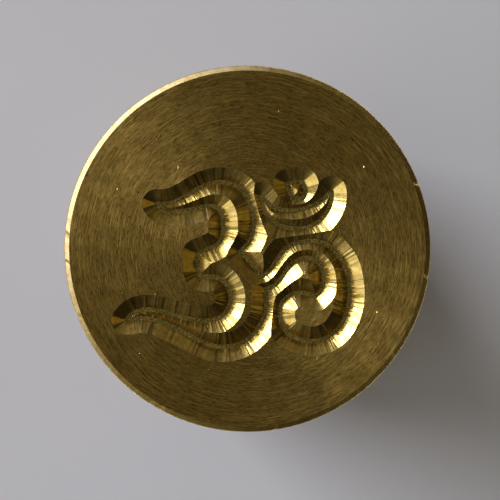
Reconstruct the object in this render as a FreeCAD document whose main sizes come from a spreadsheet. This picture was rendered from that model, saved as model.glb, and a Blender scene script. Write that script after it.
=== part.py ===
import FreeCAD, Part
import math
import os
import re
import Sketcher

# Hand seal stamp, 1 unit = 1 mm, +Z up. It stands as it is kept on a desk: the wooden handle's flat
# butt is down on z = 0, and the engraved face of the brass head looks up. Every turned piece shares
# the Z axis. From the bottom: handle, ferrule on the handle's tenon, loose trim ring, die head. The
# stud is screwed into the handle for good and carries the head's thread.

VECTOR = FreeCAD.Vector

SIZES = {
    # Turned wooden handle, from the butt up
    "foot_radius": 11.0,
    "foot_break": 0.8,
    "foot_band": 5.4,
    "foot_groove": 0.9,
    "foot_cap": 1.5,
    "stem_radius": 10.1,
    "waist_radius": 6.4,
    "waist_height": 42.0,
    "collar_radius": 8.8,
    "collar_height": 58.5,
    "collar_band": 1.3,
    "collar_groove": 0.9,
    "neck_length": 3.6,
    "tenon_length": 8.6,
    # Brass ferrule pressed on the tenon
    "ferrule_radius": 7.0,
    "ferrule_wall": 0.9,
    "ferrule_web": 1.2,
    "ferrule_break": 0.7,
    "lip_width": 1.6,
    "lip_rise": 0.45,
    # Stud, its thread drawn as a plain cylinder of the thread's outer radius
    "stud_radius": 3.0,
    "stud_tip": 1.8,
    "stud_point": 1.2,
    "stud_grip": 24.0,
    "stud_engagement": 8.0,
    "stud_break": 0.5,
    "pilot_runout": 1.0,
    "web_clearance": 0.1,
    # Loose trim ring
    "ring_radius": 7.8,
    "ring_thickness": 2.0,
    "ring_break": 0.5,
    "ring_clearance": 0.1,
    # Die head, from its back up
    "rim_radius": 12.5,
    "rim_thickness": 4.0,
    "face_chamfer": 0.34,
    "head_height": 14.5,
    "neck_radius": 7.0,
    "edge_break": 0.4,
    "flare_rise": 4.9,
    "flare_width": 4.7,
    "band_height": 1.6,
    "band_width": 1.5,
    "band_rise": 0.5,
    "hole_depth": 9.0,
    "hole_mouth": 0.5,
    "hole_point": 1.8,
    "thread_clearance": 0.08,
    # Engraving
    "engraving_depth": 0.64,
    "cutter_tip_radius": 0.15,
    "cutter_angle": 106.0,
    "facet_angle": 30.0,
    "overrun": 0.15,
}

# Engraved sign: the centre line of the cutter's pass round each part of it, from above, as shares of
# the rim radius. Each run starts where the cutter turns a sharp corner, and its other points are
# rounded off by the largest arc that fits.
SYLLABLE_SHARES = (
    ((-0.495, 0.246), (-0.452, 0.243), (-0.395, 0.257), (-0.343, 0.283), (-0.291, 0.317),
     (-0.237, 0.347), (-0.182, 0.364), (-0.119, 0.364), (-0.065, 0.350), (-0.021, 0.311),
     (0.010, 0.258), (0.028, 0.195), (0.035, 0.124), (0.027, 0.078), (0.008, 0.031)),
    ((-0.038, -0.015),),
    ((0.083, -0.150), (0.116, -0.128), (0.152, -0.074), (0.186, -0.021), (0.232, 0.021),
     (0.298, 0.040), (0.369, 0.044), (0.434, 0.029), (0.494, -0.029), (0.535, -0.091),
     (0.556, -0.181), (0.561, -0.268), (0.540, -0.364), (0.497, -0.440), (0.429, -0.493),
     (0.347, -0.508), (0.276, -0.493)),
    ((0.219, -0.462), (0.186, -0.424), (0.176, -0.356), (0.181, -0.301), (0.232, -0.251),
     (0.273, -0.238), (0.320, -0.243)),
    ((0.372, -0.261), (0.406, -0.227), (0.421, -0.173), (0.411, -0.102), (0.371, -0.057),
     (0.320, -0.048), (0.268, -0.063), (0.219, -0.106), (0.173, -0.177), (0.137, -0.209)),
    ((0.104, -0.218), (0.105, -0.306), (0.092, -0.375), (0.052, -0.448), (-0.013, -0.509),
     (-0.100, -0.538), (-0.193, -0.533), (-0.280, -0.495), (-0.378, -0.442), (-0.466, -0.402),
     (-0.547, -0.379), (-0.591, -0.378)),
    ((-0.662, -0.390), (-0.624, -0.345), (-0.553, -0.328), (-0.460, -0.341), (-0.351, -0.376),
     (-0.237, -0.395), (-0.158, -0.384), (-0.106, -0.337), (-0.088, -0.268), (-0.105, -0.206),
     (-0.152, -0.154), (-0.209, -0.152), (-0.253, -0.155)),
    ((-0.270, -0.124),),
    ((-0.273, -0.025), (-0.188, 0.009), (-0.141, 0.040), (-0.129, 0.119), (-0.141, 0.200),
     (-0.179, 0.239), (-0.237, 0.232), (-0.324, 0.210), (-0.406, 0.198), (-0.463, 0.207)),
)

CRESCENT_SHARES = (
    ((0.076, 0.286), (0.088, 0.217), (0.126, 0.155), (0.194, 0.118), (0.270, 0.108),
     (0.347, 0.121), (0.404, 0.159), (0.447, 0.220), (0.465, 0.282)),
    ((0.459, 0.317), (0.415, 0.269), (0.347, 0.230), (0.270, 0.208), (0.189, 0.210),
     (0.126, 0.234)),
)

DOT_SHARES = (
    ((0.221, 0.356), (0.257, 0.368)),
    ((0.302, 0.364), (0.320, 0.320), (0.311, 0.280), (0.276, 0.269)),
    ((0.244, 0.276), (0.222, 0.318)),
)

# Places that several pieces share, worked out from the sizes above
SHOULDER = "(collar_height + 2 * collar_band + collar_groove + neck_length)"
TENON_TOP = f"({SHOULDER} + tenon_length)"
FERRULE_TOP = f"({TENON_TOP} + ferrule_web)"
HEAD_BACK = f"({FERRULE_TOP} + ring_thickness)"
TENON_RADIUS = "(ferrule_radius - ferrule_wall)"
FERRULE_HEIGHT = "(tenon_length + ferrule_web)"
HOLE_RADIUS = "(stud_radius + thread_clearance)"
RIM_BACK = "(head_height - rim_thickness)"

# How many cutter pieces are joined at a time
BATCH = 40


def on_sheet(text):
    """The expression with each size's name pointed at the sheet."""
    return re.sub(r"\b[a-z]+(?:_[a-z]+)+\b", r"Sizes.\g<0>", text)


def write_sizes(doc):
    sheet = doc.addObject("Spreadsheet::Sheet", "Sizes")
    for row, (name, size) in enumerate(SIZES.items(), start=1):
        sheet.set(f"A{row}", name)
        sheet.set(f"B{row}", str(size))
        sheet.setAlias(f"B{row}", name)
    doc.recompute()
    return sheet


def read(doc, text):
    """The number that an expression in sizes gives."""
    result = doc.Sizes.evalExpression(on_sheet(text))
    return float(getattr(result, "Value", result))


# Outlines. Each is a list of points (radius, height) in sizes that goes round a section with the
# material on its left. A point with a third item ends a hollow arc of that radius.

def upright_arc(waist, end):
    """Radius of the arc that stands upright at one place of a silhouette and ends at another."""
    out = f"({end[0]} - {waist[0]})"
    up = f"({end[1]} - {waist[1]})"
    return f"({out}^2 + {up}^2) / (2 * abs({out}))"


def groove(radius, base, width):
    """A square pointed groove round an upright wall, from its lower edge up."""
    return [
        (radius, base),
        (f"{radius} - {width} / 2", f"{base} + {width} / 2"),
        (radius, f"{base} + {width}"),
    ]


def band(radius, base, width, rise):
    """A raised band with sloping edges round an upright wall, from its lower edge up."""
    return [
        (radius, base),
        (f"{radius} + {rise}", f"{base} + {rise}"),
        (f"{radius} + {rise}", f"{base} + {width} - {rise}"),
        (radius, f"{base} + {width}"),
    ]


def add_edge(sketch, start, end, radius):
    """Draws a line, or a hollow arc if there is a radius. Returns its number and which end starts it."""
    if radius is None:
        return sketch.addGeometry(Part.LineSegment(start, end)), 1
    chord = end - start
    inwards = VECTOR(-chord.y, chord.x, 0).normalize()
    centre = (start + end) / 2 - inwards * math.sqrt(radius ** 2 - (chord.Length / 2) ** 2)
    angle = math.atan2(end.y - centre.y, end.x - centre.x)
    swing = 2 * math.asin(chord.Length / 2 / radius)
    circle = Part.Circle(centre, VECTOR(0, 0, 1), radius)
    return sketch.addGeometry(Part.ArcOfCircle(circle, angle, angle + swing)), 2


def bind(sketch, constraint, text):
    """Adds a sized constraint whose value follows the expression."""
    number = sketch.addConstraint(constraint)
    sketch.setExpression(f"Constraints[{number}]", on_sheet(text))


def pin_point(sketch, edge, end, spot, radius, height):
    """Holds an outline's point at its radius and height."""
    for kind, axis, place, text in (("DistanceX", -2, spot.x, radius), ("DistanceY", -1, spot.y, height)):
        if text == "0":
            sketch.addConstraint(Sketcher.Constraint("PointOnObject", edge, end, axis))
        else:
            bind(sketch, Sketcher.Constraint(kind, -1, 1, edge, end, place), text)


def outline(doc, body, name, points):
    """A closed sketch on the body's XZ plane, every point and arc bound to the sizes."""
    sketch = body.newObject("Sketcher::SketchObject", name)
    plane = next(item for item in body.Origin.OriginFeatures if item.Role == "XZ_Plane")
    sketch.AttachmentSupport = [(plane, "")]
    sketch.MapMode = "FlatFace"
    spots = [VECTOR(read(doc, radius), read(doc, height), 0) for radius, height, *_ in points]
    edges = []
    for number, (radius, height, *_) in enumerate(points):
        following = (number + 1) % len(points)
        arc = [(text, read(doc, text)) for text in points[following][2:]]
        size = arc[0][1] if arc else None
        edge, first_end = add_edge(sketch, spots[number], spots[following], size)
        pin_point(sketch, edge, first_end, spots[number], radius, height)
        for text, size in arc:
            bind(sketch, Sketcher.Constraint("Radius", edge, size), text)
        edges.append((edge, first_end))
    for (edge, first_end), (following, next_end) in zip(edges, edges[1:] + edges[:1]):
        last_end = 2 if first_end == 1 else 1
        sketch.addConstraint(Sketcher.Constraint("Coincident", edge, last_end, following, next_end))
    return sketch


def turn(doc, body, name, points, feature="PartDesign::Revolution"):
    """Turns an outline about the body's Z axis, as material or as a cut."""
    sketch = outline(doc, body, name + "Outline", points)
    turned = body.newObject(feature, name)
    turned.Profile = sketch
    turned.ReferenceAxis = (sketch, ["V_Axis"])
    sketch.Visibility = False
    doc.recompute()


def bore(doc, body, name, points):
    """Cuts a turned hollow and makes sure that it took material away."""
    before = body.Shape.Volume
    turn(doc, body, name, points, "PartDesign::Groove")
    if not body.Shape.Volume < before:
        raise RuntimeError(f"{name} cuts nothing")


def new_body(doc, name, label):
    body = doc.addObject("PartDesign::Body", name)
    body.Label = label
    return body


def lift(piece, text):
    piece.setExpression(".Placement.Base.z", on_sheet(text))


def handle(doc):
    """Hardwood grip: broad grooved foot, long hollow stem, grooved collar and the ferrule's tenon."""
    body = new_body(doc, "Handle", "handle")
    groove_height = "(foot_break + foot_band)"
    cap_top = f"({groove_height} + foot_groove + foot_cap)"
    stem = ("stem_radius", f"({cap_top} + foot_radius - stem_radius)")
    waist = ("waist_radius", "waist_height")
    collar = ("collar_radius", "collar_height")
    collar_groove_height = "(collar_height + collar_band)"
    turn(doc, body, "Grip", [
        ("0", "0"),
        ("foot_radius - foot_break", "0"),
        ("foot_radius", "foot_break"),
        *groove("foot_radius", groove_height, "foot_groove"),
        ("foot_radius", cap_top),
        stem,
        (*waist, upright_arc(waist, stem)),
        (*collar, upright_arc(waist, collar)),
        *groove("collar_radius", collar_groove_height, "collar_groove"),
        ("collar_radius", f"{SHOULDER} - neck_length"),
        ("ferrule_radius", SHOULDER),
        (TENON_RADIUS, SHOULDER),
        (TENON_RADIUS, TENON_TOP),
        ("0", TENON_TOP),
    ])
    bore(doc, body, "Pilot", [
        ("0", f"{TENON_TOP} - stud_grip - pilot_runout"),
        ("stud_radius", f"{TENON_TOP} - stud_grip - pilot_runout"),
        ("stud_radius", TENON_TOP),
        ("0", TENON_TOP),
    ])
    return body


def ferrule(doc):
    """Brass cup over the tenon, its web between the tenon and the ring."""
    body = new_body(doc, "Ferrule", "ferrule")
    turn(doc, body, "Cup", [
        (TENON_RADIUS, "0"),
        *band("ferrule_radius", "0", "lip_width", "lip_rise"),
        ("ferrule_radius", f"{FERRULE_HEIGHT} - ferrule_break"),
        ("ferrule_radius - ferrule_break", FERRULE_HEIGHT),
        ("stud_radius + web_clearance", FERRULE_HEIGHT),
        ("stud_radius + web_clearance", "tenon_length"),
        (TENON_RADIUS, "tenon_length"),
    ])
    lift(body, SHOULDER)
    return body


def stud(doc):
    """Steel stud: screw point and wood end below, machine end above."""
    body = new_body(doc, "Stud", "stud")
    length = "(stud_grip + ferrule_web + ring_thickness + stud_engagement)"
    turn(doc, body, "Shank", [
        ("0", "0"),
        ("stud_tip", "0"),
        ("stud_radius", "stud_point"),
        ("stud_radius", f"{length} - stud_break"),
        ("stud_radius - stud_break", length),
        ("0", length),
    ])
    lift(body, f"{TENON_TOP} - stud_grip")
    return body


def trim_ring(doc):
    """Loose brass ring with broken edges, trapped between the ferrule and the head."""
    body = new_body(doc, "TrimRing", "trim_ring")
    turn(doc, body, "Hoop", [
        ("stud_radius + ring_clearance", "0"),
        ("ring_radius - ring_break", "0"),
        ("ring_radius", "ring_break"),
        ("ring_radius", "ring_thickness - ring_break"),
        ("ring_radius - ring_break", "ring_thickness"),
        ("stud_radius + ring_clearance", "ring_thickness"),
    ])
    lift(body, FERRULE_TOP)
    return body


def head_blank(doc):
    """The die head as it leaves the lathe: banded neck, flare, thick rim and blind threaded hole."""
    body = new_body(doc, "HeadBlank", "head_blank")
    turn(doc, body, "Blank", [
        ("0", "0"),
        ("neck_radius - edge_break", "0"),
        ("neck_radius", "edge_break"),
        *band("neck_radius", "band_height", "band_width", "band_rise"),
        ("neck_radius", f"{RIM_BACK} - flare_rise"),
        ("neck_radius + flare_width", RIM_BACK),
        ("rim_radius - edge_break", RIM_BACK),
        ("rim_radius", f"{RIM_BACK} + edge_break"),
        ("rim_radius", "head_height - face_chamfer"),
        ("rim_radius - face_chamfer", "head_height"),
        ("0", "head_height"),
    ])
    bore(doc, body, "ThreadedHole", [
        ("0", "0"),
        (f"{HOLE_RADIUS} + hole_mouth", "0"),
        (HOLE_RADIUS, "hole_mouth"),
        (HOLE_RADIUS, "hole_depth"),
        ("0", "hole_depth + hole_point"),
    ])
    return body


# Engraving. A pointed cutter with a narrow flat tip follows each loop at one depth, so the grooves
# have sloping walls that meet in a ridge wherever two passes lie close.

def rounded_corner(before, corner, after, room_before, room_after, facet_turn):
    """Points of the chords that round off a corner with the largest arc that fits its sides."""
    back = (before - corner).normalize()
    ahead = (after - corner).normalize()
    swing = math.pi - back.getAngle(ahead)
    chords = math.ceil(swing / facet_turn)
    if chords < 2:
        return [corner]
    reach = min(room_before, room_after)
    radius = reach / math.tan(swing / 2)
    centre = corner + (back + ahead).normalize() * (radius / math.cos(swing / 2))
    side = math.copysign(1, ahead.cross(back).z)
    start = corner + back * reach - centre
    start_angle = math.atan2(start.y, start.x)
    outer_radius = radius / math.cos(swing / chords / 2)
    points = []
    for chord in range(chords):
        angle = start_angle + side * swing * (chord + 1 / 2) / chords
        points.append(centre + VECTOR(math.cos(angle), math.sin(angle), 0) * outer_radius)
    return points


def cutter_line(runs, rim_radius, height, facet_turn):
    """The closed line that the cutter's tip follows, as points at the face's height."""
    corners = [(VECTOR(x * rim_radius, y * rim_radius, height), number == 0)
               for run in runs for number, (x, y) in enumerate(run)]
    line = []
    for number, (corner, sharp) in enumerate(corners):
        before, before_sharp = corners[number - 1]
        after, after_sharp = corners[(number + 1) % len(corners)]
        if sharp:
            line.append(corner)
            continue
        room_before = corner.distanceToPoint(before) * (1 if before_sharp else 1 / 2)
        room_after = corner.distanceToPoint(after) * (1 if after_sharp else 1 / 2)
        line += rounded_corner(before, corner, after, room_before, room_after, facet_turn)
    return line


def faceted(rings):
    """A solid from its flat faces, each given as a ring of points."""
    return Part.Solid(Part.Shell([Part.Face(Part.makePolygon(ring + ring[:1])) for ring in rings]))


def stroke(start, end, section):
    """What the cutter takes out between two points of its line."""
    across = VECTOR(0, 0, 1).cross(end - start).normalize()
    ring = [start + across * out + VECTOR(0, 0, up) for out, up in section]
    return Part.Face(Part.makePolygon(ring + ring[:1])).extrude(end - start)


def fan(corner, first, last, section):
    """One facet of what the round cutter takes out on the outside of a corner."""
    (_, down), (tip, _), (wide, up) = section[1], section[2], section[3]
    top = corner + VECTOR(0, 0, up)
    foot = corner + VECTOR(0, 0, down)
    foot_first, foot_last = foot + first * tip, foot + last * tip
    top_first, top_last = top + first * wide, top + last * wide
    return faceted([
        [top, top_first, top_last],
        [foot, foot_last, foot_first],
        [top, foot, foot_first, top_first],
        [top, top_last, foot_last, foot],
        [foot_first, foot_last, top_last, top_first],
    ])


def loop_pieces(line, section, facet_turn):
    """Every stroke of a closed line, with the fans at its corners."""
    pieces = []
    for number, corner in enumerate(line):
        before = line[number - 1]
        after = line[(number + 1) % len(line)]
        pieces.append(stroke(corner, after, section))
        heading = (corner - before).normalize()
        next_heading = (after - corner).normalize()
        swing = heading.getAngle(next_heading)
        side = math.copysign(1, heading.cross(next_heading).z)
        outward = VECTOR(heading.y, -heading.x, 0) * side
        fans = math.ceil(swing / facet_turn)
        rays = [FreeCAD.Rotation(VECTOR(0, 0, 1), math.degrees(side * swing * step / fans)).multVec(outward)
                for step in range(fans + 1)]
        pieces += [fan(corner, first, last, section) for first, last in zip(rays, rays[1:])]
    return pieces


def engraving(doc):
    """The whole cut as one solid per loop, in the head's own frame."""
    height = read(doc, "head_height")
    rim_radius = read(doc, "rim_radius")
    facet_turn = math.radians(read(doc, "facet_angle"))
    tip = read(doc, "cutter_tip_radius")
    depth = read(doc, "engraving_depth")
    overrun = read(doc, "overrun")
    wide = tip + (depth + overrun) * math.tan(math.radians(read(doc, "cutter_angle")) / 2)
    section = [(-wide, overrun), (-tip, -depth), (tip, -depth), (wide, overrun)]
    pieces = []
    for runs in (SYLLABLE_SHARES, CRESCENT_SHARES, DOT_SHARES):
        line = cutter_line(runs, rim_radius, height, facet_turn)
        pieces += loop_pieces(line, section, facet_turn)
    shape = pieces[0]
    for first in range(1, len(pieces), BATCH):
        shape = shape.fuse(pieces[first:first + BATCH])
    cut = doc.addObject("Part::Feature", "Engraving")
    cut.Label = "engraving"
    cut.Shape = shape.removeSplitter()
    return cut


def die_head(doc):
    """The turned blank less the engraving."""
    head = doc.addObject("Part::Cut", "DieHead")
    head.Label = "die_head"
    head.Base = head_blank(doc)
    head.Tool = engraving(doc)
    head.Refine = True
    lift(head, HEAD_BACK)
    return head


def check(doc, pieces):
    failed = [item.Label for item in doc.Objects if {"Invalid", "Error"} & set(item.State)]
    if failed:
        raise RuntimeError(f"These objects failed: {failed}")
    for piece in pieces:
        shape = piece.Shape
        if shape.isNull() or not shape.isValid() or len(shape.Solids) != 1:
            raise RuntimeError(f"{piece.Label} isn't one valid solid")


def main():
    doc = FreeCAD.newDocument("SealStamp")
    write_sizes(doc)
    pieces = [handle(doc), ferrule(doc), stud(doc), trim_ring(doc), die_head(doc)]
    doc.recompute()
    check(doc, pieces)
    os.makedirs("parts", exist_ok=True)
    for piece in pieces:
        piece.Shape.exportStep(f"parts/{piece.Label}.step")
        print(f"{piece.Label}: {piece.Shape.Volume:.1f} mm3")


main()
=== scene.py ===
import math
import random

import bpy
import numpy as np
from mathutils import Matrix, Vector
from mathutils.geometry import delaunay_2d_cdt

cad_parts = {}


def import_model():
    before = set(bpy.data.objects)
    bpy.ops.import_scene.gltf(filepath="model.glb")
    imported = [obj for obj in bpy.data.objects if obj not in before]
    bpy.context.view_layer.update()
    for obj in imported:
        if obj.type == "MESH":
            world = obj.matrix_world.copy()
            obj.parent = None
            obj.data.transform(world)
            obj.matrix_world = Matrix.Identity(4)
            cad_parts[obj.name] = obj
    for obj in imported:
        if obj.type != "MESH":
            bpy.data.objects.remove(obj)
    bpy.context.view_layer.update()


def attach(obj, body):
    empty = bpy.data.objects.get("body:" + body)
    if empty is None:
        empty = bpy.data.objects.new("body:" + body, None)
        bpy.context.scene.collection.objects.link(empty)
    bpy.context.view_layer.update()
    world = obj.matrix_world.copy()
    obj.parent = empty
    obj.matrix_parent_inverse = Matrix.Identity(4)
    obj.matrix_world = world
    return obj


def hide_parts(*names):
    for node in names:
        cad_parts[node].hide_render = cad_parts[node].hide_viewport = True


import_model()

MM = 0.001
SEED = 11

# Heights in mm, from the handle's butt up
SHOULDER = 65.6
TENON_TOP = 74.2
FERRULE_TOP = 75.4
HEAD_BACK = 77.4
FACE = 91.9

# Disc in mm: its rim and the chamfer round its face. Faces above CHAMFER_FOOT are the chamfer's.
RIM_RADIUS = 12.5
CHAMFER_WIDTH = 0.34
CHAMFER_DEPTH = 0.3
CHAMFER_FOOT = FACE - 0.36

# Cutter in mm: depth of cut, and half its width at the flat tip and at the face
DEPTH = 0.64
TIP = 0.15
WIDE = 1.0

# Hand-fed passes: lengths of their chords in mm, and sideways shift as a share of the shorter chord
CHORD_LENGTHS = (0.04, 0.06, 0.07, 0.1, 0.13)
CHATTER = 0.1

# Radians: a turn below SMALL_TURN isn't rounded, an arc has a point for each ARC_STEP, and round an
# outer corner sharper than SHARP_TURN the wall is a fan with a facet for each FAN_STEP
SMALL_TURN = 0.02
ARC_STEP = 0.04
SHARP_TURN = 0.35
FAN_STEP = 0.14

# Climb of the wall rays, in mm: slack at the face and on the way up, and how often a span is halved
FACE_SLACK = 0.004
CLIMB_SLACK = 0.003
HALVINGS = 14
# Points of the face nearer than this in mm become one, and facets that near the full width are face
MERGE = 0.002
# Points measured at a time against all chords, which keeps the memory small
BATCH = 2000

# Numbers of the head's materials, and the tones of clean walls and of what isn't engraved. Other
# facets get any tone from 0 to 1. A low tone darkens a wall facet with painted shade, as shaded
# stripes across the cut walls, and the tone also sets the facet's roughness.
FACE_ZONE, WALL_ZONE, FLOOR_ZONE, BODY_ZONE = range(4)
CLEAN_TONE = 0.45
TURNED_TONE = 0.5

# Centre lines of the engraved sign, as shares of the rim radius. Each run starts at a sharp corner
# and its other points are rounded off.
SYLLABLE_SHARES = (
    ((-0.495, 0.246), (-0.452, 0.243), (-0.395, 0.257), (-0.343, 0.283), (-0.291, 0.317),
     (-0.237, 0.347), (-0.182, 0.364), (-0.119, 0.364), (-0.065, 0.350), (-0.021, 0.311),
     (0.010, 0.258), (0.028, 0.195), (0.035, 0.124), (0.027, 0.078), (0.008, 0.031)),
    ((-0.038, -0.015),),
    ((0.083, -0.150), (0.116, -0.128), (0.152, -0.074), (0.186, -0.021), (0.232, 0.021),
     (0.298, 0.040), (0.369, 0.044), (0.434, 0.029), (0.494, -0.029), (0.535, -0.091),
     (0.556, -0.181), (0.561, -0.268), (0.540, -0.364), (0.497, -0.440), (0.429, -0.493),
     (0.347, -0.508), (0.276, -0.493)),
    ((0.219, -0.462), (0.186, -0.424), (0.176, -0.356), (0.181, -0.301), (0.232, -0.251),
     (0.273, -0.238), (0.320, -0.243)),
    ((0.372, -0.261), (0.406, -0.227), (0.421, -0.173), (0.411, -0.102), (0.371, -0.057),
     (0.320, -0.048), (0.268, -0.063), (0.219, -0.106), (0.173, -0.177), (0.137, -0.209)),
    ((0.104, -0.218), (0.105, -0.306), (0.092, -0.375), (0.052, -0.448), (-0.013, -0.509),
     (-0.100, -0.538), (-0.193, -0.533), (-0.280, -0.495), (-0.378, -0.442), (-0.466, -0.402),
     (-0.547, -0.379), (-0.591, -0.378)),
    ((-0.662, -0.390), (-0.624, -0.345), (-0.553, -0.328), (-0.460, -0.341), (-0.351, -0.376),
     (-0.237, -0.395), (-0.158, -0.384), (-0.106, -0.337), (-0.088, -0.268), (-0.105, -0.206),
     (-0.152, -0.154), (-0.209, -0.152), (-0.253, -0.155)),
    ((-0.270, -0.124),),
    ((-0.273, -0.025), (-0.188, 0.009), (-0.141, 0.040), (-0.129, 0.119), (-0.141, 0.200),
     (-0.179, 0.239), (-0.237, 0.232), (-0.324, 0.210), (-0.406, 0.198), (-0.463, 0.207)),
)

CRESCENT_SHARES = (
    ((0.076, 0.286), (0.088, 0.217), (0.126, 0.155), (0.194, 0.118), (0.270, 0.108),
     (0.347, 0.121), (0.404, 0.159), (0.447, 0.220), (0.465, 0.282)),
    ((0.459, 0.317), (0.415, 0.269), (0.347, 0.230), (0.270, 0.208), (0.189, 0.210),
     (0.126, 0.234)),
)

DOT_SHARES = (
    ((0.221, 0.356), (0.257, 0.368)),
    ((0.302, 0.364), (0.320, 0.320), (0.311, 0.280), (0.276, 0.269)),
    ((0.244, 0.276), (0.222, 0.318)),
)

# Small dents in the brass: place in mm from the centre, width and depth in mm
DENTS = (
    (-4.77, 5.58, 0.16, 0.05), (-3.65, 4.21, 0.17, 0.06), (-3.28, -2.23, 0.15, 0.05),
    (0.69, -0.76, 0.13, 0.05), (-0.57, -1.79, 0.18, 0.06), (-2.72, -5.33, 0.14, 0.05),
    (4.04, -4.89, 0.15, 0.05), (4.70, -7.46, 0.16, 0.05), (6.55, 0.53, 0.14, 0.05),
    (-6.33, -3.05, 0.12, 0.04), (-5.28, 1.93, 0.12, 0.04), (-8.90, 4.10, 0.10, 0.03),
    (7.90, 5.60, 0.12, 0.04), (2.10, 9.40, 0.10, 0.03), (8.80, -4.30, 0.11, 0.03),
    (-7.40, -7.10, 0.12, 0.04), (-1.20, -9.70, 0.10, 0.03), (-0.44, 1.90, 0.16, 0.08),
    (-0.44, 1.35, 0.14, 0.08),
)
# Outline of the dents: one side of each looks at the key light, give or take the sway in radians
DENT_SIDES = 5
DENT_TURN = math.radians(-69)
DENT_SWAY = 0.2
DENT_STRETCH = 1.7
DENT_SPREAD = (0.6, 1.3)

# Light scratches across the face: both ends in mm from the centre
SCRATCHES = (
    ((-10.10, -2.22), (-10.26, -3.05)), ((-9.17, -3.15), (-8.00, -2.81)),
    ((3.10, 9.20), (4.15, 8.75)), ((8.90, 2.05), (9.30, 0.95)), ((-6.60, 7.10), (-5.80, 7.95)),
    ((1.40, -9.90), (2.70, -10.25)), ((-3.20, -8.40), (-2.30, -8.10)),
    ((9.10, -6.20), (8.30, -7.30)),
)
SCRATCH_WIDTH = 0.045
SCRATCH_DEPTH = 0.02

# Nicks in the rim, mm: how many, their sizes, their depth as a share of that, the middle and half
# height of the band they lie in, and how many of the head's first rings are looked at for it
NICKS = 26
NICK_SIZES = (0.03, 0.12)
NICK_DEPTH = 0.5
NICK_HEIGHT = FACE - 0.34
NICK_BAND = 0.2
NICK_RINGS = 8

# Stud in mm: its ends and outer radius, the rise from ring to ring, where the machine thread starts
# and the wood thread stops, the depth of each and of the plain waist between them, and the pitches
STUD_BOTTOM, STUD_TOP, STUD_CREST, STUD_RISE = 50.2, 85.4, 3.0, 1 / 12
MACHINE_FROM, MACHINE_CUT, MACHINE_PITCH = 72.5, 0.54, 1
WOOD_TO, WOOD_CUT, WOOD_PITCH = 71.5, 0.75, 2
WAIST_CUT = 0.35

# Softened corners: the most of a side that one takes, the smallest turn in radians that is
# softened, the points of its curve, and how far out the points on the flats beside it lie
SOFT_SHARE = 0.4
SOFT_TURN = 0.12
SOFT_POINTS = 5
SOFT_GUARD = 1.35

# Steps round a turn
DISC_STEPS = 360
TURNED_STEPS = 160
STUD_STEPS = 48

# Lamps round the face: azimuths in degrees from +X, widths in m, powers in W
COOL = (0.94, 1.0, 1.2)
WARM = (1.0, 0.76, 0.2)
KEY = 147
LAMPS = (
    ("key", KEY, 1.45, 34.0, COOL), ("side", 199, 1.4, 3.9, COOL),
    ("fill", 0, 1.33, 0.67, WARM), ("back", 55, 1.2, 0.24, WARM),
)
LAMP_ELEVATION, LAMP_AWAY, LAMP_HEIGHT = math.radians(24), 2.0, 0.87
# Faint strips a little below the face: azimuth in degrees and power in W
LOW_LAMPS = ((238, 0.05), (322, 0.06), (55, 0.05))
LOW_ELEVATION, LOW_AWAY, LOW_SIZE = math.radians(-17), 0.22, (0.25, 0.03)
LOW_SPREAD, LOW_TARGET = math.radians(75), (0, 0, 0.14)

# World: a dim room, lighter towards one side, and a strip of light above the horizon behind the key
# lamp. The strip's height is the z of its direction, and it fades out at 1 / STRIP_FADE from there.
ROOM = 160
ROOM_GAIN, ROOM_LEAST = 0.365, 0.02
ROOM_COLOUR = (1.0, 0.95, 0.84)
STRIP_HEIGHT, STRIP_FADE, STRIP_POWER = 0.09, 16.0, 3.0
STRIP_COLOUR = (5.0, 5.6, 12.0)

# Camera in m: its height above the face, the width of what it sees there, and the shift that puts
# the disc where it is in the photo
CAMERA_AWAY = 0.3
FRAME_WIDTH = 0.03408
CAMERA_SHIFT = (0.000177, -0.000082)


# Path of the cutter

def rounded(before, corner, after, room_before, room_after):
    """Dense points along the largest arc that rounds off a corner."""
    back = (before - corner) / np.linalg.norm(before - corner)
    ahead = (after - corner) / np.linalg.norm(after - corner)
    swing = math.pi - math.acos(np.clip(back @ ahead, -1, 1))
    if swing < SMALL_TURN:
        return [corner]
    reach = min(room_before, room_after)
    radius = reach / math.tan(swing / 2)
    middle = back + ahead
    centre = corner + middle / np.linalg.norm(middle) * (radius / math.cos(swing / 2))
    start = corner + back * reach - centre
    side = math.copysign(1, ahead[0] * back[1] - ahead[1] * back[0])
    first = math.atan2(start[1], start[0])
    angles = first + side * np.linspace(0, swing, max(4, int(swing / ARC_STEP)))
    return [centre + radius * np.array((math.cos(a), math.sin(a))) for a in angles]


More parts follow.
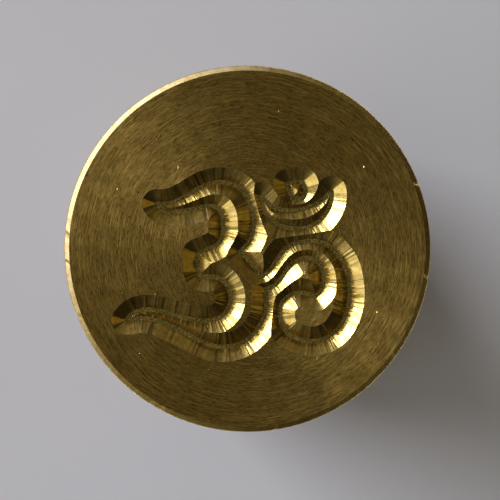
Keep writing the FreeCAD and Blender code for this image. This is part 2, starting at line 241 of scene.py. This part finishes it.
def cutter_path(runs, rng):
    """The closed line of the cutter's tip in mm, and for each chord whether it is cut clean. Curves
    come in short uneven chords, as a hand-fed cutter leaves them. Straight passes are clean."""
    corners = [(np.array(point) * RIM_RADIUS, number == 0)
               for run in runs for number, point in enumerate(run)]
    stretches = []
    for number, (corner, sharp) in enumerate(corners):
        before, before_sharp = corners[number - 1]
        after, after_sharp = corners[(number + 1) % len(corners)]
        if sharp:
            stretches.append([corner])
            continue
        room_before = np.linalg.norm(corner - before) * (1 if before_sharp else 0.5)
        room_after = np.linalg.norm(corner - after) * (1 if after_sharp else 0.5)
        stretches[-1] += rounded(before, corner, after, room_before, room_after)
    path, clean = [], []
    for stretch, following in zip(stretches, stretches[1:] + stretches[:1]):
        straight = len(stretch) == 1
        dense = np.array(stretch + [following[0]])
        lengths = np.concatenate(([0], np.cumsum(np.linalg.norm(np.diff(dense, axis=0), axis=1))))
        steps = []
        while sum(steps) < lengths[-1]:
            steps.append(rng.choice(CHORD_LENGTHS))
        marks = np.concatenate(([0], np.cumsum(steps))) * lengths[-1] / sum(steps)
        spots = np.stack([np.interp(marks, lengths, dense[:, axis]) for axis in (0, 1)], axis=1)
        path.append(spots[0])
        for number in range(1, len(spots) - 1):
            ahead = spots[number + 1] - spots[number - 1]
            aside = np.array((-ahead[1], ahead[0])) / np.linalg.norm(ahead)
            room = min(steps[number - 1], steps[number])
            path.append(spots[number] + aside * rng.gauss(0, 0.0 if straight else CHATTER) * room)
        clean += [straight] * (len(spots) - 1)
    return np.array(path), clean


def nearest_chord(points, starts, ends):
    """Distance of each point from the nearest of the chords, and that chord's number."""
    nearest, chord = np.full(len(points), np.inf), np.zeros(len(points), int)
    along = ends - starts
    squared = (along ** 2).sum(1)
    for first in range(0, len(points), BATCH):
        batch = slice(first, first + BATCH)
        away = points[batch, None] - starts[None]
        share = np.clip((away * along).sum(2) / squared, 0, 1)
        gap = away - share[..., None] * along
        gaps = np.sqrt((gap ** 2).sum(2))
        nearest[batch] = gaps.min(1)
        chord[batch] = gaps.argmin(1)
    return nearest, chord


def turned_by(vector, angle):
    return np.array((vector[0] * math.cos(angle) - vector[1] * math.sin(angle),
                     vector[0] * math.sin(angle) + vector[1] * math.cos(angle)))


def wall_rays(path):
    """The rays up the wall on each side of a closed path: (corner, direction, rise rate)."""
    sides = []
    for side in (1, -1):
        rays = []
        for number, corner in enumerate(path):
            back = corner - path[number - 1]
            ahead = path[(number + 1) % len(path)] - corner
            back, ahead = back / np.linalg.norm(back), ahead / np.linalg.norm(ahead)
            turn = math.atan2(back[0] * ahead[1] - back[1] * ahead[0], back @ ahead)
            out = np.array((-back[1], back[0])) * side
            if turn * side < 0 and abs(turn) > SHARP_TURN:
                fans = math.ceil(abs(turn) / FAN_STEP)
                rays += [(corner, turned_by(out, turn * step / fans), 1.0)
                         for step in range(fans + 1)]
            else:
                rays.append((corner, turned_by(out, turn / 2), math.cos(turn / 2)))
        sides.append(rays)
    return sides


def reach_of_rays(origins, directions, rates, starts, ends):
    """How far each ray climbs, as distance from the path, before it meets another wall, and whether
    it gets up to the face."""

    def gap(reach):
        return nearest_chord(origins + directions * (reach / rates)[:, None], starts, ends)[0]

    low, high = np.zeros(len(origins)), np.full(len(origins), WIDE)
    free = gap(WIDE) > WIDE - FACE_SLACK
    for _ in range(HALVINGS):
        middle = (low + high) / 2
        clear = gap(middle) > middle - CLIMB_SLACK
        low, high = np.where(clear, middle, low), np.where(clear, high, middle)
    return np.where(free, WIDE, low), free


def add_walls(paths, starts, ends, points, edges):
    """Adds the foot and top of every ray to the points, and the borders of facets to the edges."""
    for path in paths:
        for rays in wall_rays(path):
            origins, directions, rates = (np.array(part) for part in zip(*rays))
            reach, free = reach_of_rays(origins, directions, rates, starts, ends)
            last = None
            for number in [*range(len(rays)), 0]:
                if reach[number] <= TIP:
                    last = None
                    continue
                foot, top = len(points), len(points) + 1
                for climb in (TIP, reach[number]):
                    points.append(origins[number] + directions[number] * climb / rates[number])
                edges.append((foot, top))
                if last:
                    last_foot, last_top, last_free = last
                    edges.append((last_foot, foot))
                    if free[number] and last_free:
                        edges.append((last_top, top))
                last = (foot, top, free[number])


def add_marks(rng, points, edges):
    """Adds the dents and scratches to the points and edges. Gives the depth of each low point."""
    depths = {}
    for x, y, width, depth in DENTS:
        turn = DENT_TURN + rng.uniform(-DENT_SWAY, DENT_SWAY)
        for step in range(DENT_SIDES):
            angle = turn + math.tau * step / DENT_SIDES
            out = width / 2 * rng.uniform(*DENT_SPREAD)
            points.append(np.array((x + math.cos(angle) * out,
                                    y + math.sin(angle) * out * DENT_STRETCH)))
        depths[len(points)] = depth
        points.append(np.array((x, y)))
    for start, end in SCRATCHES:
        start, end = np.array(start), np.array(end)
        along = (end - start) / np.linalg.norm(end - start)
        beside = np.array((-along[1], along[0])) * SCRATCH_WIDTH / 2
        middle = (start + end) / 2
        depths[len(points)] = SCRATCH_DEPTH
        edges += [(len(points), len(points) + 1), (len(points), len(points) + 2)]
        points += [middle, start, end, middle + beside, middle - beside]
    return depths


def engraved_face(rim):
    """Mesh of the engraved face inside the rim circle: points, triangles, their zones and tones,
    and the numbers of the rim's points."""
    rng = random.Random(SEED)
    passes = [cutter_path(runs, rng) for runs in (SYLLABLE_SHARES, CRESCENT_SHARES, DOT_SHARES)]
    paths = [path for path, _ in passes]
    clean = np.concatenate([flags for _, flags in passes])
    starts = np.concatenate(paths)
    ends = np.concatenate([np.roll(path, -1, axis=0) for path in paths])
    points, edges = [*rim], []
    add_walls(paths, starts, ends, points, edges)
    depths = add_marks(rng, points, edges)
    edges += [(step, (step + 1) % len(rim)) for step in range(len(rim))]
    spots, _, faces, origins_of, _, _ = delaunay_2d_cdt(
        [Vector(point) for point in points], edges, [], 0, MERGE)
    flat = np.array([tuple(spot) for spot in spots])
    gaps, _ = nearest_chord(flat, starts, ends)
    heights = (np.clip((gaps - TIP) / (WIDE - TIP), 0, 1) - 1) * DEPTH
    place, struck = {}, []
    for number, origins in enumerate(origins_of):
        for origin in origins:
            if origin in depths:
                heights[number] -= depths[origin]
                struck.append(number)
            if origin < len(rim):
                place[origin] = number
    border = [place[step] for step in range(len(rim))]
    triangles = np.array(faces)
    gaps, chords = nearest_chord(flat[triangles].mean(1), starts, ends)
    zones = np.where(gaps > WIDE - MERGE, FACE_ZONE, np.where(gaps > TIP, WALL_ZONE, FLOOR_ZONE))
    zones[np.isin(triangles, struck).any(1)] = WALL_ZONE
    # A random tone for each chord's facets, which the wall paint turns into stripes of painted
    # shade; clean passes get one even tone
    tones = np.where(clean, CLEAN_TONE, [rng.random() for _ in starts])[chords]
    return np.column_stack((flat, heights)), triangles, zones, tones, border


# Turned shapes

def softened(profile, radius):
    """The profile (radius, height) with its corners rounded a little, and a point beside each end
    of a rounding, which keeps the flats flat under smooth shading."""
    soft = []
    for number, corner in enumerate(profile):
        corner = np.array(corner, float)
        if number in (0, len(profile) - 1):
            soft.append(corner)
            continue
        before, after = np.array(profile[number - 1], float), np.array(profile[number + 1], float)
        back, ahead = before - corner, after - corner
        room = min(np.linalg.norm(back), np.linalg.norm(ahead)) * SOFT_SHARE
        back, ahead = back / np.linalg.norm(back), ahead / np.linalg.norm(ahead)
        swing = math.pi - math.acos(np.clip(back @ ahead, -1, 1))
        if swing < SOFT_TURN:
            soft.append(corner)
            continue
        reach = min(radius * math.tan(swing / 2), room)
        start, end = corner + back * reach, corner + ahead * reach
        soft.append(corner + back * reach * SOFT_GUARD)
        for share in np.linspace(0, 1, SOFT_POINTS):
            rest = 1 - share
            soft.append(rest ** 2 * start + 2 * share * rest * corner + share ** 2 * end)
        soft.append(corner + ahead * reach * SOFT_GUARD)
    return soft


def lathe(profile, segments):
    """Points and faces of a profile turned about Z. Its points on the axis become single points."""
    points, faces, rings = [], [], []
    angles = np.arange(segments) * math.tau / segments
    for radius, height in profile:
        if radius < 1e-6:
            rings.append([len(points)] * segments)
            points.append((0, 0, height))
            continue
        rings.append(list(range(len(points), len(points) + segments)))
        points += [(radius * math.cos(a), radius * math.sin(a), height) for a in angles]
    for ring, following in zip(rings, rings[1:]):
        for step in range(segments):
            after = (step + 1) % segments
            face = [ring[step], ring[after], following[after], following[step]]
            face = [point for number, point in enumerate(face) if point != face[number - 1]]
            if len(face) > 2:
                faces.append(face)
    return points, faces


def mesh_object(name, points, faces, materials, zones=None):
    """A smooth object from points in mm, with each face's material number in zones."""
    mesh = bpy.data.meshes.new(name)
    mesh.from_pydata([tuple(c * MM for c in point) for point in points], [],
                     [tuple(map(int, face)) for face in faces])
    for material in materials:
        mesh.materials.append(material)
    mesh.polygons.foreach_set("use_smooth", [True] * len(faces))
    if zones is not None:
        mesh.polygons.foreach_set("material_index", [int(zone) for zone in zones])
    mesh.validate()
    thing = bpy.data.objects.new(name, mesh)
    bpy.context.scene.collection.objects.link(thing)
    return thing


# Materials

def scaled(colour, shares):
    return tuple(share * value for share, value in zip(shares, colour))


class Paint:
    """A node material with short ways to add nodes."""

    def __init__(self, name):
        self.material = bpy.data.materials.new(name)
        self.material.use_nodes = True
        self.tree = self.material.node_tree
        self.shader = self.tree.nodes["Principled BSDF"]
        self.place = self.add("ShaderNodeTexCoord").outputs["Object"]

    def add(self, kind, *inputs, **settings):
        node = self.tree.nodes.new(kind)
        for name, value in settings.items():
            setattr(node, name, value)
        for number, value in enumerate(inputs):
            self.put(node.inputs[number], value)
        return node

    def put(self, socket, value):
        if isinstance(value, bpy.types.NodeSocket):
            self.tree.links.new(value, socket)
        else:
            socket.default_value = value

    def math(self, operation, *inputs):
        return self.add("ShaderNodeMath", *inputs, operation=operation).outputs[0]

    def vector(self, operation, *inputs):
        node = self.add("ShaderNodeVectorMath", *inputs, operation=operation)
        return node.outputs["Value" if operation == "LENGTH" else "Vector"]

    def noise(self, place, scale, detail, rough, warp=0.0, w=None):
        node = self.add("ShaderNodeTexNoise", noise_dimensions="4D" if w is not None else "3D")
        self.put(node.inputs["Vector"], place)
        if w is not None:
            self.put(node.inputs["W"], w)
        settings = {"Scale": scale, "Detail": detail, "Roughness": rough, "Distortion": warp}
        for name, value in settings.items():
            self.put(node.inputs[name], value)
        return node.outputs["Fac"]

    def ramp(self, factor, stops):
        node = self.add("ShaderNodeValToRGB", factor)
        elements = node.color_ramp.elements
        while len(elements) < len(stops):
            elements.new(0.5)
        for element, (spot, colour) in zip(elements, stops):
            element.position = spot
            element.color = (*colour, 1)
        return node.outputs["Color"]

    def grey(self, factor, low, high, out_low=0.0, out_high=1.0):
        """The factor between low and high spread over out_low to out_high."""
        return self.add("ShaderNodeMapRange", factor, low, high, out_low, out_high).outputs[0]

    def shade(self, factor, dark, light, low=0.3, high=0.7):
        """From dark to light as the factor goes from low to high."""
        return self.ramp(self.grey(factor, low, high), ((0.0, dark), (1.0, light)))

    def mix(self, factor, first, second):
        node = self.add("ShaderNodeMix", data_type="RGBA")
        self.put(node.inputs["Factor"], factor)
        # The node has sockets for each data type: inputs 6 and 7 and output 2 are the colours
        for number, colour in ((6, first), (7, second)):
            linked = isinstance(colour, bpy.types.NodeSocket)
            self.put(node.inputs[number], colour if linked else (*colour, 1))
        return node.outputs[2]

    def cover(self, colour, other, factor, low, high, most):
        """The colour, covered by the other from not at all at low to the share `most` at high."""
        return self.mix(self.grey(factor, low, high, 0.0, most), colour, other)

    def bump(self, height, distance_mm, strength=1.0, normal=None):
        node = self.add("ShaderNodeBump")
        self.put(node.inputs["Strength"], strength)
        self.put(node.inputs["Distance"], distance_mm * MM)
        self.put(node.inputs["Height"], height)
        if normal is not None:
            self.put(node.inputs["Normal"], normal)
        return node.outputs["Normal"]

    def finish(self, **inputs):
        for name, value in inputs.items():
            self.put(self.shader.inputs[name.replace("_", " ")], value)
        return self.material

    def turning_lines(self, along_mm, across_mm, detail=3.0):
        """Streaks round the Z axis on any turned surface: so long 10 mm from the axis, so wide."""
        fine = 1 / (across_mm * MM)
        flat = self.vector("MULTIPLY", self.place, (1, 1, 0))
        way = self.vector("SCALE", self.vector("NORMALIZE", flat))
        self.put(way.node.inputs["Scale"], 10 / along_mm)
        split = self.add("ShaderNodeSeparateXYZ", way)
        across = self.math("MULTIPLY", self.vector("LENGTH", flat), fine)
        joined = self.add("ShaderNodeCombineXYZ", split.outputs[0], split.outputs[1], across)
        height = self.add("ShaderNodeSeparateXYZ", self.place).outputs[2]
        return self.noise(joined.outputs[0], 1.0, detail, 0.62, 0.15,
                          w=self.math("MULTIPLY", height, fine))


def turned_brass(name, dark, light, rough, line_mm=0.11, depth_mm=0.0012, patina=0.5):
    """Brass off the lathe: turning lines, blotches of hue, tarnish, pale hairs, specks and pits."""
    paint = Paint(name)
    lines = paint.turning_lines(line_mm * 7, line_mm, 0.0)
    wide = paint.turning_lines(9.0, line_mm * 4)
    tone = paint.math("ADD", paint.math("MULTIPLY", lines, 0.85),
                      paint.math("MULTIPLY", wide, 0.15))
    colour = paint.shade(tone, dark, light, 0.25, 0.75)
    hue = paint.noise(paint.place, 9000.0, 1.0, 0.5)
    warm = paint.mix(tone, dark, scaled(light, (1.12, 0.92, 0.6)))
    colour = paint.cover(colour, warm, hue, 0.45, 0.65, 0.45)
    cloud = paint.noise(paint.place, 240.0, 4.0, 0.6, 0.3)
    colour = paint.cover(colour, scaled(dark, (0.62, 0.66, 0.7)), cloud, 0.5, 0.75, patina)
    hairs = paint.turning_lines(1.3, 0.034, 0.0)
    colour = paint.cover(colour, scaled(light, (1.25, 1.25, 1.25)), hairs, 0.58, 0.7, 0.85)
    specks = paint.noise(paint.place, 5200.0, 1.0, 0.5)
    colour = paint.cover(colour, (0.78, 0.66, 0.42), specks, 0.74, 0.78, 0.5)
    pits = paint.noise(paint.vector("ADD", paint.place, (0.3, 0.1, 0.7)), 4300.0, 1.0, 0.5)
    colour = paint.cover(colour, (0.05, 0.035, 0.012), pits, 0.72, 0.76, 0.6)
    smears = paint.noise(paint.place, 900.0, 3.0, 0.6)
    roughness = paint.grey(smears, 0.3, 0.7, rough - 0.05, rough + 0.08)
    waves = paint.noise(paint.place, 1400.0, 3.0, 0.6)
    normal = paint.bump(waves, 0.004, 0.4, paint.bump(lines, depth_mm))
    tangent = paint.add("ShaderNodeTangent", direction_type="RADIAL", axis="Z").outputs[0]
    return paint.finish(Base_Color=colour, Metallic=1.0, Roughness=roughness, Normal=normal,
                        Anisotropic=0.65, Anisotropic_Rotation=0.25, Tangent=tangent)


def cut_brass(name, dark, light, rough):
    """Bright brass as the cutter leaves it. Facets of low tones are darker: painted shade, as shaded
    stripes across the walls. The top ones are dull.
    """
    paint = Paint(name)
    grain = paint.noise(paint.place, 2600.0, 3.0, 0.65)
    cloud = paint.noise(paint.place, 500.0, 2.0, 0.5, 0.4)
    tone = paint.add("ShaderNodeAttribute", attribute_name="tone").outputs["Fac"]
    colour = paint.cover(paint.shade(grain, dark, light), dark, cloud, 0.45, 0.75, 0.2)
    # Painted shade: facets of a low tone are darkened, the lowest nearly to black, as stripes of
    # shade on the walls
    colour = paint.cover(colour, (0.2, 0.13, 0.03), tone, 0.6, 0.0, 0.5)
    colour = paint.cover(colour, (0.06, 0.04, 0.01), tone, 0.13, 0.1, 0.4)
    roughness = paint.math("ADD", paint.grey(tone, 0.0, 0.7, rough + 0.08, rough - 0.06),
                           paint.grey(tone, 0.84, 0.96, 0.0, 0.26))
    return paint.finish(Base_Color=colour, Metallic=1.0, Roughness=roughness,
                        Normal=paint.bump(grain, 0.0015))


def groove_floor(name):
    """Floor of the engraving: grey-green film with fine grit in it."""
    paint = Paint(name)
    cloud = paint.noise(paint.place, 800.0, 3.0, 0.6)
    grit = paint.noise(paint.place, 8600.0, 1.0, 0.5)
    colour = paint.shade(cloud, (0.28, 0.2, 0.045), (0.56, 0.41, 0.095))
    colour = paint.cover(colour, (0.8, 0.66, 0.26), grit, 0.58, 0.66, 0.8)
    colour = paint.cover(colour, (0.07, 0.055, 0.02), grit, 0.44, 0.36, 0.7)
    return paint.finish(Base_Color=colour, Metallic=1.0, Roughness=0.42,
                        Normal=paint.bump(grit, 0.008, 0.45))


def wood(name):
    """Oiled hardwood: year rings round an axis beside the handle's own, with fibres and pores."""
    paint = Paint(name)
    bent = paint.noise(paint.vector("MULTIPLY", paint.place, (1, 1, 0.07)), 60.0, 3.0, 0.5)
    heart = paint.vector("ADD", paint.place, (0.0045, 0.002, 0))
    radius = paint.vector("LENGTH", paint.vector("MULTIPLY", heart, (1, 1, 0)))
    rings = paint.math("ADD", paint.math("MULTIPLY", radius, 1150.0),
                       paint.math("MULTIPLY", bent, 6.0))
    colour = paint.ramp(paint.math("FRACT", rings), (
        (0.0, (0.16, 0.062, 0.022)), (0.35, (0.3, 0.135, 0.05)),
        (0.8, (0.37, 0.18, 0.072)), (1.0, (0.2, 0.085, 0.032))))
    fibre = paint.noise(paint.vector("MULTIPLY", paint.place, (1, 1, 0.03)), 2600.0, 4.0, 0.65)
    colour = paint.cover(colour, (0.12, 0.048, 0.018), fibre, 0.35, 0.7, 0.55)
    pores = paint.noise(paint.vector("MULTIPLY", paint.place, (1, 1, 0.05)), 5200.0, 1.0, 0.5)
    pore = paint.grey(pores, 0.63, 0.7)
    colour = paint.mix(paint.math("MULTIPLY", pore, 0.8), colour, (0.035, 0.014, 0.006))
    height = paint.math("SUBTRACT", paint.math("MULTIPLY", fibre, 0.5), pore)
    return paint.finish(Base_Color=colour, Roughness=paint.grey(fibre, 0.3, 0.7, 0.34, 0.46),
                        Normal=paint.bump(height, 0.012, 0.6), Coat_Weight=0.35,
                        Coat_Roughness=0.22)


def steel(name):
    """Zinc-plated steel with faint rolling marks."""
    paint = Paint(name)
    cloud = paint.noise(paint.place, 700.0, 4.0, 0.6)
    colour = paint.shade(cloud, (0.4, 0.41, 0.42), (0.62, 0.63, 0.64))
    lines = paint.turning_lines(4.0, 0.1)
    return paint.finish(Base_Color=colour, Metallic=1.0, Normal=paint.bump(lines, 0.003),
                        Roughness=paint.grey(lines, 0.3, 0.7, 0.26, 0.4))


def floor_paint(name):
    """Matt and pale, with the faintest clouds."""
    paint = Paint(name)
    cloud = paint.noise(paint.place, 14.0, 3.0, 0.5)
    colour = paint.shade(cloud, (0.8, 0.77, 0.71), (0.86, 0.83, 0.77))
    return paint.finish(Base_Color=colour, Roughness=0.7)


# Pieces

def press_nicks(points, rng):
    """Presses small nicks into the rim's edge, in the array of points itself."""
    for _ in range(NICKS):
        angle, size = rng.uniform(-math.pi, math.pi), rng.uniform(*NICK_SIZES)
        around = np.arctan2(points[:, 1], points[:, 0]) - angle
        gap = np.abs((around + math.pi) % math.tau - math.pi)
        near = np.exp(-(gap * RIM_RADIUS / size) ** 2)
        near *= np.abs(points[:, 2] - NICK_HEIGHT) < NICK_BAND
        points[:, :2] *= (1 - near * size * NICK_DEPTH / RIM_RADIUS)[:, None]


def die_head():
    """The head in one mesh: engraved face, flat-shaded chamfer and smooth body."""
    paints = [
        turned_brass("die_face", (0.19, 0.11, 0.017), (0.68, 0.45, 0.105), 0.38, line_mm=0.038,
                     depth_mm=0.0035, patina=0.3),
        cut_brass("die_walls", (0.58, 0.37, 0.055), (0.86, 0.64, 0.21), 0.2),
        groove_floor("die_floor"),
        turned_brass("die_body", (0.34, 0.23, 0.07), (0.62, 0.45, 0.17), 0.3, patina=0.35),
    ]
    edge = RIM_RADIUS - CHAMFER_WIDTH
    turns = [math.tau * step / DISC_STEPS for step in range(DISC_STEPS)]
    rim = np.array([(edge * math.cos(turn), edge * math.sin(turn)) for turn in turns])
    face_points, triangles, zones, tones, border = engraved_face(rim)
    face_points[:, 2] += FACE
    profile = [(edge, FACE), (RIM_RADIUS, FACE - CHAMFER_DEPTH), (RIM_RADIUS, 88.3), (12.1, 87.9),
               (11.7, 87.9), (7.0, 83.0), (7.0, 80.5), (7.5, 80.0), (7.5, 79.5), (7.0, 79.0),
               (7.0, 77.8), (6.6, HEAD_BACK), (3.58, HEAD_BACK), (3.08, HEAD_BACK + 0.5),
               (3.08, 86.4), (0, 88.2)]
    points, faces = lathe(softened(profile, 0.12), DISC_STEPS)
    points = np.array(points)
    press_nicks(points[:DISC_STEPS * NICK_RINGS], random.Random(SEED + 1))
    # The body's first ring is the border of the face, whose points it takes
    points = np.concatenate((face_points, points[DISC_STEPS:]))
    index = border + list(range(len(face_points), len(points)))
    faces = [[index[point] for point in face][::-1] for face in faces]
    chamfer = [min(points[point][2] for point in face) > CHAMFER_FOOT for face in faces]
    thing = mesh_object("engraved_head", points, [*triangles, *faces], paints,
                        [*zones] + [WALL_ZONE if bright else BODY_ZONE for bright in chamfer])
    smooth = [False] * len(triangles) + [not bright for bright in chamfer]
    thing.data.polygons.foreach_set("use_smooth", smooth)
    tone = thing.data.attributes.new("tone", "FLOAT", "FACE")
    tone.data.foreach_set("value", [*tones] + [TURNED_TONE] * len(faces))
    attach(thing, "head")
    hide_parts("die_head")


def handle():
    """Grooved foot, a stem of two arcs that meet at the waist, grooved collar and tenon."""
    foot = [(0, 0), (10.2, 0), (11.0, 0.8), (11.0, 6.2), (10.55, 6.65), (11.0, 7.1), (11.0, 8.6),
            (10.1, 9.5)]
    waist_radius, waist_height = 6.4, 42.0
    stem = []
    for radius, height, shares in ((10.1, 9.5, np.linspace(1, 0, 14)),
                                   (8.8, 58.5, np.linspace(0, 1, 14))):
        out, up = radius - waist_radius, height - waist_height
        curve = (out ** 2 + up ** 2) / (2 * out)
        for away in up * shares[1:]:
            hollow = waist_radius + curve - math.sqrt(curve ** 2 - away ** 2)
            stem.append((hollow, waist_height + away))
    top = [(8.8, 59.8), (8.35, 60.25), (8.8, 60.7), (8.8, 62.0), (7.0, SHOULDER), (6.1, SHOULDER),
           (6.1, TENON_TOP), (3.0, TENON_TOP), (3.0, 49.2), (0, 49.2)]
    points, faces = lathe(softened(foot + stem + top, 0.3), TURNED_STEPS)
    thing = mesh_object("turned_handle", points, faces, [wood("handle_wood_grain")])
    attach(thing, "grip")
    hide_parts("handle")


def ferrule():
    profile = [(6.1, SHOULDER), (7.0, SHOULDER), (7.45, 66.05), (7.45, 66.75), (7.0, 67.2),
               (7.0, 74.7), (6.3, FERRULE_TOP), (3.1, FERRULE_TOP), (3.1, TENON_TOP),
               (6.1, TENON_TOP), (6.1, SHOULDER)]
    points, faces = lathe(softened(profile, 0.12), TURNED_STEPS)
    paint = turned_brass("ferrule_brass", (0.4, 0.28, 0.09), (0.7, 0.52, 0.2), 0.24, patina=0.3)
    thing = mesh_object("turned_ferrule", points, faces, [paint])
    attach(thing, "grip")
    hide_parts("ferrule")


def trim_ring():
    profile = [(3.1, FERRULE_TOP), (7.3, FERRULE_TOP), (7.8, 75.9), (7.8, 76.9), (7.3, HEAD_BACK),
               (3.1, HEAD_BACK), (3.1, FERRULE_TOP)]
    points, faces = lathe(softened(profile, 0.15), TURNED_STEPS)
    paint = turned_brass("ring_brass", (0.44, 0.31, 0.1), (0.74, 0.56, 0.22), 0.2, patina=0.25)
    thing = mesh_object("turned_ring", points, faces, [paint])
    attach(thing, "ring")
    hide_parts("trim_ring")


def thread_cut(height, share):
    """How deep the stud is cut, in mm, at this height and share of a turn."""
    if height > MACHINE_FROM:
        phase = (height / MACHINE_PITCH - share) % 1.0
        return MACHINE_CUT * np.clip(abs(phase - 0.5) * 2 * 1.25 - 0.12, 0, 1)
    if height < WOOD_TO:
        phase = (height / WOOD_PITCH - share) % 1.0
        return WOOD_CUT * (1 - np.clip((0.26 - abs(phase - 0.5)) * 5, 0, 1))
    return WAIST_CUT


def stud():
    """Hanger stud with its real threads and blunt ends."""
    points, faces = [], []
    for height in np.arange(STUD_BOTTOM, STUD_TOP + 1e-6, STUD_RISE):
        whole = min(1, (STUD_TOP - height) / 0.6, (height - STUD_BOTTOM + 0.6) / 1.8)
        blunt = STUD_CREST - 1.2 * (1 - max(0, whole))
        for step in range(STUD_STEPS):
            share = step / STUD_STEPS
            radius = min(STUD_CREST - thread_cut(height, share), blunt)
            points.append((radius * math.cos(math.tau * share),
                           radius * math.sin(math.tau * share), height))
    for lower in range(0, len(points) - STUD_STEPS, STUD_STEPS):
        upper = lower + STUD_STEPS
        for step in range(STUD_STEPS):
            after = (step + 1) % STUD_STEPS
            faces.append((lower + step, lower + after, upper + after, upper + step))
    faces.append(tuple(range(STUD_STEPS))[::-1])
    faces.append(tuple(range(len(points) - STUD_STEPS, len(points))))
    thing = mesh_object("threaded_stud", points, faces, [steel("stud_zinc")])
    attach(thing, "grip")
    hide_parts("stud")


# Studio

def floor():
    """A square of so many cells a side, in mm like every mesh."""
    side, cells = 3000.0, 24
    points = [((column / cells - 0.5) * side, (row / cells - 0.5) * side, 0)
              for row in range(cells + 1) for column in range(cells + 1)]
    faces = []
    for row in range(cells):
        for column in range(cells):
            first = row * (cells + 1) + column
            faces.append((first, first + 1, first + cells + 2, first + cells + 1))
    thing = mesh_object("floor", points, faces, [floor_paint("floor_paint")])


def aimed(thing, spot):
    thing.rotation_euler = (spot - thing.location).to_track_quat("-Z", "Y").to_euler()


def lamp(name, degrees, elevation, away, width, height, power):
    """A rectangle of light at a distance from the middle of the face, aimed at it."""
    light = bpy.data.lights.new(name, "AREA")
    light.shape = "RECTANGLE"
    light.size, light.size_y, light.energy = width, height, power
    thing = bpy.data.objects.new(name, light)
    centre = Vector((0, 0, FACE * MM))
    azimuth, level = math.radians(degrees), math.cos(elevation)
    thing.location = centre + away * Vector((level * math.cos(azimuth), level * math.sin(azimuth),
                                             math.sin(elevation)))
    aimed(thing, centre)
    thing.visible_camera = False
    bpy.context.scene.collection.objects.link(thing)
    return thing


def lamps():
    for name, azimuth, width, power, colour in LAMPS:
        wide = lamp(name, azimuth, LAMP_ELEVATION, LAMP_AWAY, width, LAMP_HEIGHT, power)
        wide.data.color = colour
    for azimuth, power in LOW_LAMPS:
        low = lamp(f"low_{azimuth}", azimuth, LOW_ELEVATION, LOW_AWAY, *LOW_SIZE, power)
        low.data.spread = LOW_SPREAD
        aimed(low, Vector(LOW_TARGET))


def world():
    """The dim room and its strip of light, by direction."""
    scene = bpy.context.scene
    scene.world = bpy.data.worlds.new("studio")
    scene.world.use_nodes = True
    tree = scene.world.node_tree

    def calc(operation, *inputs):
        node = tree.nodes.new("ShaderNodeMath")
        node.operation = operation
        for number, value in enumerate(inputs):
            if isinstance(value, bpy.types.NodeSocket):
                tree.links.new(value, node.inputs[number])
            else:
                node.inputs[number].default_value = value
        return node.outputs[0]

    split = tree.nodes.new("ShaderNodeSeparateXYZ")
    tree.links.new(tree.nodes.new("ShaderNodeTexCoord").outputs["Generated"], split.inputs[0])
    x, y, z = split.outputs

    def towards(degrees):
        azimuth = math.radians(degrees)
        return calc("ADD", calc("MULTIPLY", x, math.cos(azimuth)),
                    calc("MULTIPLY", y, math.sin(azimuth)))

    side = calc("POWER", calc("MULTIPLY_ADD", towards(ROOM), 0.5, 0.5), 2.0)
    dim = calc("MULTIPLY_ADD", side, ROOM_GAIN, ROOM_LEAST)
    off = calc("ABSOLUTE", calc("SUBTRACT", z, STRIP_HEIGHT))
    horizon = calc("MAXIMUM", calc("SUBTRACT", 1.0, calc("MULTIPLY", off, STRIP_FADE)), 0.0)
    ahead = calc("POWER", calc("MAXIMUM", towards(KEY), 0.0), STRIP_POWER)
    strip = calc("MULTIPLY", horizon, ahead)
    colour = tree.nodes.new("ShaderNodeCombineColor")
    for channel, (room, band) in enumerate(zip(ROOM_COLOUR, STRIP_COLOUR)):
        light = calc("MULTIPLY_ADD", strip, band, calc("MULTIPLY", dim, room))
        tree.links.new(light, colour.inputs[channel])
    tree.links.new(colour.outputs[0], tree.nodes["Background"].inputs["Color"])


def camera():
    """Straight above the engraved face, with the top of the sign up."""
    lens = bpy.data.cameras.new("camera")
    lens.lens = lens.sensor_width * CAMERA_AWAY / FRAME_WIDTH
    lens.clip_start, lens.clip_end = 0.01, 20
    thing = bpy.data.objects.new("camera", lens)
    thing.location = (*CAMERA_SHIFT, FACE * MM + CAMERA_AWAY)
    bpy.context.scene.collection.objects.link(thing)
    bpy.context.scene.camera = thing


camera()
die_head()
handle()
ferrule()
trim_ring()
stud()
floor()
world()
lamps()
bpy.context.scene.view_settings.view_transform = "Standard"
